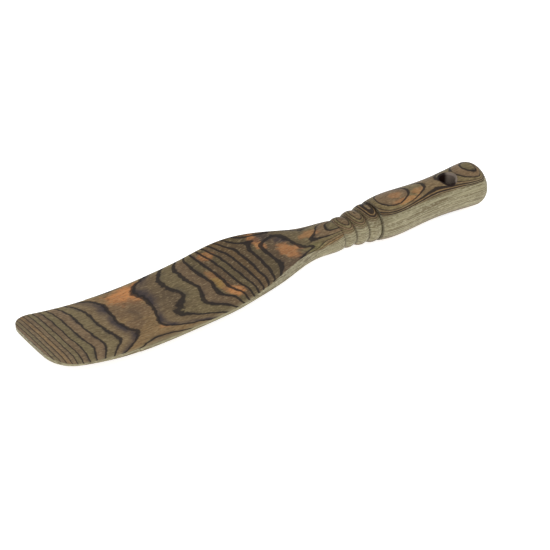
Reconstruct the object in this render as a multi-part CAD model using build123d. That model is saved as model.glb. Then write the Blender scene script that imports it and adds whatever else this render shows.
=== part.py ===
"""Wood edge slicker: a hand tool that rubs the raw edge of leather smooth.

The whole tool is carved from one blank of thin dyed veneers, glued flat and
pressed into a block.  A broad paddle, dished lengthwise, runs into a narrow
neck, three turned beads and an oval handle with a hanging hole near its butt.
Nothing moves and nothing is screwed on: the separate pieces are the veneers,
so the outer shape is made first and then parted at every glue line.

Frame: +X from the paddle's end to the butt, +Z square to the veneers, origin
under the middle of the tool at the height of its lowest point.
"""

import os
from collections import namedtuple
from math import ceil, floor, pi, sin

from build123d import *

# ---- driving dimensions, in millimetres -------------------------------------

# paddle and neck
blade_length = 166.0       # paddle's end to the shoulder before the beads
blade_width = 48.0         # widest place of the paddle
tip_narrowing = 1.2        # widest place to the straight sides behind the corners
tip_corner_radius = 13.0   # plan radius of those corners
tip_bulge = 0.8            # how far the end stands out between its corners
neck_width = 17.0          # neck where it meets the beads
neck_height = 12.6
neck_wall = 0.9            # flat left on the neck's sides

# beads
bead_count = 3
bead_pitch = 7.2
bead_swell = 0.2           # crest above a straight taper from neck to handle
groove_depth = 1.2         # groove bottom below that same taper

# handle
handle_length = 66.4
shoulder_width = 20.0      # handle where it starts, just after the beads
shoulder_height = 19.2
shoulder_chamfer = 0.6
swell_width = 22.2         # palm swell
swell_height = 21.2
swell_from_shoulder = 14.4
waist_width = 20.4         # narrowest place, before the butt
waist_height = 19.4
waist_from_butt = 27.0
butt_width = 22.9          # flared end
butt_height = 21.6
butt_peak_from_end = 8.0
butt_edge_radius = 6.0

# hanging hole, drilled through from the upper face to the lower one
hole_diameter = 8.0
hole_from_butt = 21.4
hole_side_offset = -2.0    # drilled by eye, a little off the middle line
countersink_width = 1.2    # how much wider the mouth is, on each side

# veneers: the blank is as thick as the butt, and the veneers divide it
ply_thickness = 0.6
thinnest_ply = 0.1         # a thinner remnant stays on its neighbour

FROM_START = (Align.MIN, Align.CENTER, Align.CENTER)
FROM_BELOW = (Align.CENTER, Align.CENTER, Align.MIN)

# ---- paddle and neck ---------------------------------------------------------

# Each section across the paddle stands at a share of the blade length.  Its
# width is a share of the way from the neck's width to the blade's.  Its
# heights are from the handle's centre line: crown is the middle of the upper
# face, edge the top of the side wall, wall that wall's height, and belly the
# middle of the underside.  Roundness is near 1 for a face that turns down
# evenly, and 2 for half of an ellipse.
Section = namedtuple("Section", "along wide crown edge wall belly roundness")

PADDLE_SECTIONS = [
    Section(0.000, 0.92, 5.9, 5.6, 1.2, 3.8, 1.3),
    Section(0.104, 0.97, 1.9, 1.5, 1.0, -1.8, 1.3),
    Section(0.228, 0.98, -0.2, -1.1, 1.6, -4.5, 1.3),
    Section(0.352, 0.98, -0.7, -1.7, 1.5, -5.1, 1.3),
    Section(0.466, 0.99, 0.0, -0.9, 1.5, -4.4, 1.3),
    Section(0.580, 1.00, 1.3, 1.0, 1.7, -3.0, 1.3),
    Section(0.674, 0.90, 3.4, 4.2, 3.2, -1.9, 1.4),
    Section(0.756, 0.64, 5.1, 5.8, 5.2, -1.8, 1.5),
    Section(0.839, 0.31, 5.5, 5.3, 5.2, -2.6, 1.6),
    Section(0.930, 0.12, 5.8, 2.6, 2.6, -4.8, 1.8),
    Section(1.000, 0.00, neck_height / 2, neck_wall / 2, neck_wall, -neck_height / 2, 2.0),
]
CROWN_FULLNESS = 2.4       # the higher, the flatter the middle of a face
POINTS_ACROSS = 13         # points that a face's curve takes from its formula


def square_to_length(along):
    """The plane square to the tool's length at a place along it."""
    return Plane((along, 0, 0), x_dir=(0, 1, 0), z_dir=(1, 0, 0))


def face_points(half_width, rim, middle, roundness):
    """Points of a crowned face from rim to rim, closer together at the rims."""
    points = []
    for step in range(POINTS_ACROSS):
        share = sin(pi * (step / (POINTS_ACROSS - 1) - 0.5))
        fill = max(0.0, 1 - abs(share) ** CROWN_FULLNESS) ** (1 / roundness)
        points.append((half_width * share, rim + (middle - rim) * fill))
    return points


def paddle_section(section):
    """One section of the paddle: upper face, side wall, belly, side wall."""
    half_width = (neck_width + (blade_width - neck_width) * section.wide) / 2
    foot = section.edge - section.wall
    top = face_points(half_width, section.edge, section.crown, section.roundness)
    belly = face_points(half_width, foot, section.belly, section.roundness)
    outline = [
        Spline(*top),
        Line(top[-1], belly[-1]),
        Spline(*reversed(belly)),
        Line(belly[0], top[0]),
    ]
    return square_to_length(section.along * blade_length) * make_face(outline)


def tip_plan():
    """Block whose plan has the paddle's bulged end and two round corners."""
    half = (blade_width - tip_narrowing) / 2
    back = blade_length / 4
    end = ThreePointArc((tip_bulge, -half), (0, 0), (tip_bulge, half))
    sides = Polyline((tip_bulge, half), (back, half), (back, -half), (tip_bulge, -half))
    plan = make_face([*end.edges(), *sides.edges()])
    corners = plan.vertices().filter_by_position(Axis.X, tip_bulge - 0.01, tip_bulge + 0.01)
    plan = fillet(corners, tip_corner_radius)
    return extrude(plan, blade_width, both=True)


def paddle():
    """Paddle and neck: one skin through all sections, its end cut to plan."""
    skin = loft([paddle_section(section) for section in PADDLE_SECTIONS])
    rest_of_blade = Pos(blade_length / 4, 0, 0) * Box(
        blade_length, 2 * blade_width, 2 * blade_width, align=FROM_START
    )
    return skin & (tip_plan() + rest_of_blade)


# ---- beads and handle --------------------------------------------------------


def oval(along, width, height):
    """An elliptical section of the tool, centred on the handle's axis."""
    return square_to_length(along) * Ellipse(width / 2, height / 2)


def taper(share, sink):
    """Width and height on the taper from neck to handle, less twice a sink."""
    width = neck_width + (shoulder_width - neck_width) * share - 2 * sink
    height = neck_height + (shoulder_height - neck_height) * share - 2 * sink
    return width, height


def bead(index):
    """One bead, bulging between two sharp grooves."""
    ovals = []
    for place in (0, 0.2, 0.5, 0.8, 1):
        bulge = 1 - (2 * place - 1) ** 2
        sink = groove_depth - (groove_depth + bead_swell) * bulge
        along = blade_length + (index + place) * bead_pitch
        ovals.append(oval(along, *taper((index + place) / bead_count, sink)))
    return loft(ovals)


beads_end = blade_length + bead_count * bead_pitch
butt_end = beads_end + handle_length


def handle():
    """Handle: palm swell, waist and flared butt with a rounded end."""
    stations = [
        (beads_end, shoulder_width, shoulder_height),
        (beads_end + swell_from_shoulder, swell_width, swell_height),
        (butt_end - waist_from_butt, waist_width, waist_height),
        (butt_end - butt_peak_from_end, butt_width, butt_height),
        (butt_end, butt_width, butt_height),
    ]
    grip = loft([oval(*station) for station in stations])
    ends = grip.edges().filter_by(GeomType.CIRCLE, reverse=True).sort_by(Axis.X)
    grip = fillet(ends[-1], butt_edge_radius)
    return chamfer(grip.edges().sort_by(Axis.X)[0], shoulder_chamfer)


def hanging_hole(grip):
    """Cutter for the hole: a straight drill with a countersink at each mouth."""
    along = butt_end - hole_from_butt
    slice_at_hole = grip & Pos(along, 0, 0) * Box(hole_diameter, butt_width, 2 * butt_height)
    mouth = slice_at_hole.bounding_box().max.Z
    radius = hole_diameter / 2
    cutter = Cylinder(radius, 2 * butt_height)
    sink = Cone(
        radius, radius + 2 * countersink_width, 2 * countersink_width, align=FROM_BELOW
    )
    upper = Pos(0, 0, mouth - countersink_width) * sink
    lower = Rot(180, 0, 0) * upper
    return Pos(along, hole_side_offset, 0) * (cutter + upper + lower)


# ---- the whole tool, parted into its veneers ---------------------------------


def carved_tool():
    """The finished outer shape, as one solid, in the handle's own frame."""
    grip = handle()
    tool = paddle() + [bead(index) for index in range(bead_count)] + grip
    return tool - hanging_hole(grip)


def veneers(tool):
    """Part the tool at the glue lines, from the lowest veneer to the highest."""
    box = tool.bounding_box()
    bottom_glue = -butt_height / 2
    first = floor((box.min.Z + thinnest_ply - bottom_glue) / ply_thickness)
    last = ceil((box.max.Z - thinnest_ply - bottom_glue) / ply_thickness)
    plies = []
    for level in range(first, last):
        low = bottom_glue + level * ply_thickness
        high = low + ply_thickness
        if level == first:
            low = box.min.Z - 1
        if level == last - 1:
            high = box.max.Z + 1
        sheet = Pos(box.center().X, 0, low) * Box(
            2 * butt_end, 2 * blade_width, high - low, align=FROM_BELOW
        )
        plies.append(tool & sheet)
    return plies


def write_parts():
    """Write one STEP file for each veneer, in the tool's standing frame."""
    os.makedirs("parts", exist_ok=True)
    tool = carved_tool()
    box = tool.bounding_box()
    stand = Pos(-box.center().X, 0, -box.min.Z)
    for number, ply in enumerate(veneers(tool), start=1):
        export_step(stand * ply, f"parts/veneer_{number:02d}.step")


write_parts()
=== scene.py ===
"""Looks of a wood edge slicker: a paddle, beads and a handle carved from one
blank of dyed veneers, shown on a pale floor in soft studio light."""

from collections import namedtuple
from math import cos, e, radians, sin

import bpy
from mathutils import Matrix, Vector


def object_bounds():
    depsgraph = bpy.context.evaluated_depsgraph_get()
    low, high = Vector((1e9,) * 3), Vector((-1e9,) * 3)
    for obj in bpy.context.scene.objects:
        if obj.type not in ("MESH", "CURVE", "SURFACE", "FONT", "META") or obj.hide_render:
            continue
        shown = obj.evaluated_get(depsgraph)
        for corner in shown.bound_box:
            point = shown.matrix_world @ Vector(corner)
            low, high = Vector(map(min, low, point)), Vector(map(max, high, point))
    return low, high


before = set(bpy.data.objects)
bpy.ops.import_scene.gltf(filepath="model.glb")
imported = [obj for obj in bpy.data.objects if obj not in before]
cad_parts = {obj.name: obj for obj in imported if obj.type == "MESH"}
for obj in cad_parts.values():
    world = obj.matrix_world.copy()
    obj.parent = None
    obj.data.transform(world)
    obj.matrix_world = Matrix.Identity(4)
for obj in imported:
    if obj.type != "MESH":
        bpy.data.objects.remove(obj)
cad_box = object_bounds()

# ---- the blank of veneers -------------------------------------------------------
# Flat sheets of dyed hardwood veneer, pressed with dark resin into one blank and
# carved as one.  The carving bares each sheet as a band, wide where the surface
# lies flat and a thin stripe where it is steep.  The sheets are a little wavy.

PLY = 0.6                  # millimetres, as all sizes here: the thickness of one veneer
HANDLE_START = 41.0        # along the tool from its middle
HANDLE_BLEND = 5.0         # from there, how far both ways the handle's bend fades
HANDLE_CROWN = 0.035       # how much squarer than an oval the handle's rings run
CROWN_HEIGHT = 8.0         # over the handle's axis, where that bend is whole
BROAD_WAVE = 0.2           # how far the sheets wander up and down all over
FINE_WAVE = 0.13           # and within a centimetre


class Wire:
    """A value in a finish; arithmetic written on it adds Math nodes."""

    def __init__(self, finish, socket):
        self.finish = finish
        self.socket = socket

    def math(self, operation, *values):
        return self.finish.add("ShaderNodeMath", {"operation": operation}, dict(enumerate(values)))

    def __add__(self, other):
        return self.math("ADD", self, other)

    __radd__ = __add__

    def __sub__(self, other):
        return self.math("SUBTRACT", self, other)

    def __rsub__(self, other):
        return self.math("SUBTRACT", other, self)

    def __mul__(self, other):
        return self.math("MULTIPLY", self, other)

    __rmul__ = __mul__

    def __truediv__(self, other):
        return self.math("DIVIDE", self, other)

    def __rpow__(self, base):
        return self.math("POWER", base, self)

    def __abs__(self):
        return self.math("ABSOLUTE", self)

    def floor(self):
        return self.math("FLOOR", self)

    def square_root(self):
        return self.math("SQRT", self)

    def most(self, other):
        return self.math("MAXIMUM", self, other)

    def least(self, other):
        return self.math("MINIMUM", self, other)

    def within(self, middle, reach):
        """1 where this lies no further than the reach from the middle, else 0."""
        return self.math("COMPARE", self, middle, reach)

    def rising(self, start, end):
        """0 below the start, 1 above the end, and a smooth curve between."""
        settings = {"interpolation_type": "SMOOTHSTEP"}
        return self.finish.add("ShaderNodeMapRange", settings, {0: self, 1: start, 2: end})


class Finish:
    """A material whose shader is written down as expressions."""

    def __init__(self, name):
        self.material = bpy.data.materials.new(name)
        self.material.use_nodes = True
        self.tree = self.material.node_tree
        self.tree.nodes.clear()

    def add(self, kind, settings=None, sockets=None, out=0):
        """Add a node: its settings first, then its sockets' values or links."""
        node = self.tree.nodes.new(kind)
        for name, value in (settings or {}).items():
            setattr(node, name, value)
        for name, value in (sockets or {}).items():
            if isinstance(value, Wire):
                self.tree.links.new(value.socket, node.inputs[name])
            else:
                node.inputs[name].default_value = value
        return Wire(self, node.outputs[out]) if node.outputs else node

    def parts_of(self, vector):
        """The X, Y and Z of a vector, as three values."""
        return [self.add("ShaderNodeSeparateXYZ", None, {0: vector}, out) for out in range(3)]

    def mix(self, share, first, second):
        """A colour that goes from the first to the second with the share."""
        sockets = {0: share, 6: first, 7: second}
        return self.add("ShaderNodeMix", {"data_type": "RGBA"}, sockets, out=2)

    def noise(self, where, closeness, detail=2.0):
        """Cloudy noise round 0.5, its closeness given along X, Y and Z."""
        scaled = self.add("ShaderNodeVectorMath", {"operation": "MULTIPLY"}, {0: where, 1: closeness})
        return self.add("ShaderNodeTexNoise", None, {"Vector": scaled, "Scale": 1.0, "Detail": detail})


def paint(red, green, blue):
    """A colour in steps from 0 to 255, turned to the shader's linear light."""
    linear = []
    for step in (red, green, blue):
        share = step / 255
        linear.append(share / 12.92 if share <= 0.04045 else ((share + 0.055) / 1.055) ** 2.4)
    return (*linear, 1.0)


laminate = Finish("dyed_laminate")
here = laminate.add("ShaderNodeTexCoord", out=3)
place = laminate.add("ShaderNodeVectorMath", {"operation": "SCALE"}, {0: here, 3: 1000.0})
x, y, z = laminate.parts_of(place)
upright = abs(laminate.parts_of(laminate.add("ShaderNodeNewGeometry", out=1))[2])


def mound(along, across, long, wide):
    """1 at a place on the tool, falling off smoothly to nothing round it."""
    far_along = (x - along) / long
    far_across = (y - across) / wide
    return e ** (-1 * (far_along * far_along + far_across * far_across))


# Where the sheets lie higher or lower in the blank: how far along and across the
# tool from its middle, how far the swelling reaches both ways, and its lift.
Swell = namedtuple("Swell", "along across long wide lift")
SWELLS = [
    Swell(-65, 24, 45, 13, 0.55),
    Swell(-66, -15, 40, 8, 0.50),
    Swell(-60, -5, 6, 9, 0.22),
    Swell(-74, -3, 9, 18, -0.42),
    Swell(-45, 0, 10, 6, -0.15),
    Swell(-15, -2, 22, 18, 0.18),
    Swell(-121, 2, 7, 30, 0.33),
    Swell(-27, -17, 12, 5, -0.30),
    Swell(5, -1, 6, 9, 0.35),
    Swell(24, 3, 9, 5, -0.62),
    Swell(6, -15, 6, 3, -0.30),
    Swell(20, -9.5, 8, 2, 0.45),
    Swell(17, -2, 3.5, 5, -0.2),
    Swell(2, 12, 10, 4, -0.60),
    Swell(96, -2, 6, 7, -0.20),
    Swell(119, 0, 5, 7, 0.20),
]
wave = (laminate.noise(place, (0.13, 0.17, 0.05)) - 0.5) * BROAD_WAVE
wave = wave + (laminate.noise(place, (0.4, 0.45, 0.1), 3.0) - 0.5) * FINE_WAVE
for swell in SWELLS:
    wave = wave + mound(swell.along, swell.across, swell.long, swell.wide) * swell.lift

low, high = cad_box
axis_height = (low[2] + high[2]) / 2 * 1000
lowest_glue = axis_height - len(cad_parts) / 2 * PLY
above_axis = ((z - axis_height) / CROWN_HEIGHT).most(-1).least(1)
on_handle = x.rising(HANDLE_START - HANDLE_BLEND, HANDLE_START + HANDLE_BLEND)
wave = wave + y * y * HANDLE_CROWN * above_axis * on_handle

# A place's level counts the veneers under it; its whole part numbers the veneer.
level = (z - lowest_glue + wave) / PLY
ply = level.floor()
over_glue = (level - ply) * PLY
from_glue = abs(level - (level + 0.5).floor()) * PLY

# ---- dyes -----------------------------------------------------------------------
# Tan, sage and grey-brown veneers, in an order that comes round every eight
# sheets.  The paddle's root is darker from handling, and most of all the sheet
# just over the bottom of its hollow.

DYES = [
    paint(134, 108, 72), paint(124, 104, 74), paint(120, 106, 74), paint(124, 102, 75),
    paint(114, 102, 70), paint(112, 92, 66), paint(118, 105, 73), paint(122, 102, 74),
]
rounds = ply / len(DYES)
turn = (rounds - rounds.floor()) * len(DYES)
dye = DYES[0]
for number, colour in enumerate(DYES):
    dye = laminate.mix(turn.within(number, 0.5), dye, colour)

cloud = laminate.noise(place, (0.09, 0.12, 0.3), 3.0)
dye = laminate.mix(cloud.rising(0.45, 0.75) * 0.35, dye, paint(82, 62, 38))
root = x.rising(-70, -5) * (1 - x.rising(5, 30))
dye = laminate.mix(root * 0.55, dye, paint(52, 36, 22))
HOLLOW_PLY = 16            # the veneer that the bottom of the paddle's hollow bares
oily = mound(-52, 2, 14, 15) * ply.within(HOLLOW_PLY + 1, 0.5)
dye = laminate.mix(oily * 0.55, dye, paint(66, 52, 40))

# ---- stains ---------------------------------------------------------------------
# Places where dye or resin soaked in more: orange, brown, yellow, green and purple
# patches with ragged edges, each in one sheet or a few.  Each is given by its
# place and reach along and across, the veneer it is in and how many it spans to
# either side, and its colour and strength.

Stain = namedtuple("Stain", "along across long wide ply reach colour share")
ORANGE = paint(200, 134, 78)
BROWN = paint(112, 88, 62)
PURPLE = paint(56, 46, 50)
YELLOW = paint(150, 122, 62)
GREEN = paint(118, 114, 70)
STAINS = [
    Stain(-66, 14.5, 14, 9, HOLLOW_PLY, 0.5, ORANGE, 0.9),
    Stain(-75, 6, 12, 8, HOLLOW_PLY, 0.5, BROWN, 0.8),
    Stain(-66, -15, 4, 2, HOLLOW_PLY, 0.5, ORANGE, 0.4),
    Stain(-78, -7, 6, 5, HOLLOW_PLY, 0.5, BROWN, 0.8),
    Stain(-68, 0, 7, 6, HOLLOW_PLY, 0.5, BROWN, 0.7),
    Stain(-77, -23, 7, 3, 17, 1.5, GREEN, 0.9),
    Stain(-29.5, -4, 3, 14, 20.5, 1.1, ORANGE, 0.3),
    Stain(-27, -14, 4, 5, 20.5, 1.1, ORANGE, 0.7),
    Stain(-31, -3, 3, 5, 20.5, 1.1, YELLOW, 0.6),
    Stain(-23.5, 17, 4, 4, 22, 1.5, ORANGE, 0.45),
    Stain(0, 10, 3, 8, 26, 1.5, ORANGE, 0.6),
    Stain(8, -5, 4.5, 8, 27, 0.5, ORANGE, 0.55),
    Stain(11, 5, 5, 3, 27, 0.5, PURPLE, 0.8),
    Stain(4, 11, 6, 3.5, 26.5, 1.1, PURPLE, 0.6),
    Stain(16, -4, 4, 5, 27, 0.6, ORANGE, 0.6),
    Stain(24, 1, 6, 3, 26.5, 1.1, ORANGE, 0.4),
    Stain(20, -9, 8, 3, 26, 1.1, GREEN, 0.5),
    Stain(74, -1, 4, 2.5, 35, 0.6, ORANGE, 0.3),
    Stain(76.5, -5.7, 9, 1.6, 33.5, 1.6, ORANGE, 0.4),
    Stain(88, -3, 6, 2.5, 34, 0.6, ORANGE, 0.35),
]
ragged = (laminate.noise(place, (0.3, 0.3, 0.3), 3.0) - 0.5) * 0.9
for stain in STAINS:
    spot = (mound(stain.along, stain.across, stain.long, stain.wide) + ragged).rising(0.25, 0.7)
    near = mound(stain.along, stain.across, stain.long * 2, stain.wide * 2).rising(0.1, 0.3)
    share = spot * near * ply.within(stain.ply, stain.reach) * stain.share
    dye = laminate.mix(share, dye, stain.colour)

# ---- grain ----------------------------------------------------------------------
# Long fibres and short pores of the wood, darker and paler than the dye, run the
# length of every sheet and show through the stains.

fibre = laminate.noise(place, (0.14, 1.6, 2.6), 4.0)
fleck = laminate.noise(place, (0.5, 1.3, 1.3), 5.0)
dye = laminate.mix(fibre.rising(0.42, 0.8) * 0.55, dye, paint(66, 52, 38))
dye = laminate.mix(fleck.rising(0.52, 0.7) * 0.4, dye, paint(166, 146, 110))
dye = laminate.mix((1 - fleck.rising(0.3, 0.48)) * 0.45, dye, paint(62, 46, 30))

# ---- carved sides ---------------------------------------------------------------
# Cut across the sheets, the wood is paler and greener, in fine streaks that run
# lengthwise, and the steep sides are painted lighter still than the flat tops, as
# painted light.  The paddle's outer rims are paler too.

# Steep faces take the edge grain's own pale colour, made paler as painted light.
side = 1 - upright.rising(0.5, 0.72)
streak = laminate.noise(place, (0.03, 0.5, 3.2), 4.0)
pale = laminate.mix(streak.rising(0.4, 0.6), paint(156, 150, 120), paint(104, 94, 70))
pale = laminate.mix(fleck.rising(0.5, 0.66) * 0.5, pale, paint(176, 170, 142))
dye = laminate.mix(side * 0.88, dye, pale)
rim = abs(y).rising(21.5, 23.6) * (1 - side)
dye = laminate.mix(rim * 0.6, dye, paint(140, 128, 98))

# ---- glue lines -----------------------------------------------------------------
# Resin squeezed thin between the sheets, nearly black, that has crept a little
# into the wood over it.  The film round the paddle's hollow is the thickest and
# stained purple, and two along the shoulders of the handle are thick too.

GLUE_HALF = 0.035          # half the height of a glue line, where it is wholly dark
GLUE_FADE = 0.05           # how far beyond that it fades out
ROOT_GLUE = 0.04           # how much thicker the lines run in the paddle's root
SHOULDER_GLUE = 0.14       # and in the two along the handle
SHOULDER_LEVEL = 32.5      # between those two
creep = laminate.noise(place, (0.12, 0.12, 0.2)).rising(0.4, 0.62)
soaked = (1 - over_glue.rising(0.0, 0.26)) * creep * (1 - side)
thick_film = ply.within(HOLLOW_PLY + 1, 0.5) * (1 - over_glue.rising(0.08, 0.38)) * (1 - side)
dye = laminate.mix(thick_film * (0.45 + creep * 0.5), dye, PURPLE)
dye = laminate.mix(soaked * 0.6, dye, paint(46, 40, 40))
shoulder = x.rising(33, 40) * level.within(SHOULDER_LEVEL, 0.9)
spread = root * ROOT_GLUE + shoulder * SHOULDER_GLUE
glue = 1 - (from_glue - spread).rising(GLUE_HALF, GLUE_HALF + GLUE_FADE)
dye = laminate.mix(glue * (0.9 - side * (1 - shoulder) * 0.45), dye, paint(34, 27, 24))

# ---- beads ----------------------------------------------------------------------
# Three beads turned between sharp grooves, painted darker in the grooves as shade.

BEADS_START = 39.0
BEAD_PITCH = 7.2
BEAD_COUNT = 3
for number in range(BEAD_COUNT + 1):
    from_groove = abs(x - (BEADS_START + number * BEAD_PITCH))
    # Painted shade: darker within under a millimetre of each groove.
    groove_shade = 1 - from_groove.rising(0.2, 0.8)
    dye = laminate.mix(groove_shade * 0.55, dye, paint(44, 33, 26))

# ---- hanging hole ---------------------------------------------------------------
# A hole drilled down through the handle near its butt.  Its walls are painted
# nearly black as shade, and the wall towards the butt lighter as painted light.

HOLE_ALONG = 105.6
HOLE_ACROSS = -2.0
HOLE_RADIUS = 4.0
HOLE_SHADE_FROM = 0.7          # past that radius, over the countersink, where it fades
HOLE_SHADE_TO = 1.2
away_along = x - HOLE_ALONG
away_across = y - HOLE_ACROSS
away = (away_along * away_along + away_across * away_across).square_root()
in_hole = 1 - away.rising(HOLE_RADIUS + HOLE_SHADE_FROM, HOLE_RADIUS + HOLE_SHADE_TO)
# Painted light on the hole's wall towards the butt, and painted shade on the rest of it.
bright_side = away_along.rising(1.2, 3.2)
hole_shade = laminate.mix(bright_side, paint(26, 12, 8), paint(118, 106, 96))
dye = laminate.mix(in_hole, dye, hole_shade)

# ---- surface --------------------------------------------------------------------
# Sanded fine and buffed with wax: a soft sheen, duller in the glue lines and
# patchy where it has been handled, with the grain just felt.

dull = 0.42 + fibre * 0.16 + glue * 0.1
relief = fibre * 0.6 - glue * 0.5 + laminate.noise(place, (0.5, 4.0, 4.0), 3.0) * 0.3
bump = laminate.add("ShaderNodeBump", None, {"Strength": 0.18, "Distance": 0.0002, "Height": relief})
surface = laminate.add(
    "ShaderNodeBsdfPrincipled", None,
    {
        "Base Color": dye, "Roughness": dull, "Specular IOR Level": 0.15, "Normal": bump,
        "Coat Weight": 0.02, "Coat Roughness": 0.25,
    },
)
laminate.add("ShaderNodeOutputMaterial", None, {0: surface})

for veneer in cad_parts.values():
    veneer.data.materials.clear()
    veneer.data.materials.append(laminate.material)

# ---- floor and light ------------------------------------------------------------
# A white board that glows a little, so that shadows stay faint, a large soft sky
# of white light all round, and one wide lamp in front for the tool's near side.

board = Finish("white_board")
board_shader = board.add(
    "ShaderNodeBsdfPrincipled", None,
    {
        "Base Color": (0.9, 0.9, 0.9, 1.0), "Roughness": 0.9, "Specular IOR Level": 0.0,
        "Emission Color": (1.0, 1.0, 1.0, 1.0), "Emission Strength": 0.7,
    },
)
board.add("ShaderNodeOutputMaterial", None, {0: board_shader})
bpy.ops.mesh.primitive_plane_add(size=6.0)
floor = bpy.context.object
floor.name = "floor"
floor.data.materials.append(board.material)

world = bpy.data.worlds.new("white_studio")
bpy.context.scene.world = world
world.use_nodes = True
world.node_tree.nodes["Background"].inputs["Color"].default_value = (1.0, 1.0, 1.0, 1.0)
world.node_tree.nodes["Background"].inputs["Strength"].default_value = 0.77
bpy.context.scene.view_settings.view_transform = "Standard"

lamp_data = bpy.data.lights.new("front", "AREA")
lamp_data.size = 0.9
lamp_data.energy = 5.0
lamp = bpy.data.objects.new("front", lamp_data)
lamp.location = (-0.3, -0.9, 0.7)
lamp.rotation_euler = Vector(lamp.location).to_track_quat("Z", "Y").to_euler()
bpy.context.scene.collection.objects.link(lamp)

# ---- camera ---------------------------------------------------------------------
# A long lens about a metre away, to the left of the paddle's end and above it.

AZIMUTH = radians(-35.47)
ELEVATION = radians(33.36)
DISTANCE = 1.012           # metres, as all sizes here
AIM_RIGHT = 0.0033         # from the middle of the handle's axis to what the lens faces
AIM_DOWN = 0.00655

back = Vector((sin(AZIMUTH) * cos(ELEVATION), -cos(AZIMUTH) * cos(ELEVATION), sin(ELEVATION)))
right = Vector((cos(AZIMUTH), sin(AZIMUTH), 0.0))
up = back.cross(right)
aim = Vector((0.0, 0.0, axis_height / 1000)) + right * AIM_RIGHT - up * AIM_DOWN
camera_data = bpy.data.cameras.new("camera")
camera_data.lens = 142.0
camera_data.sensor_width = 36.0
camera = bpy.data.objects.new("camera", camera_data)
camera.location = aim + back * DISTANCE
camera.rotation_euler = back.to_track_quat("Z", "Y").to_euler()
bpy.context.scene.collection.objects.link(camera)
bpy.context.scene.camera = camera
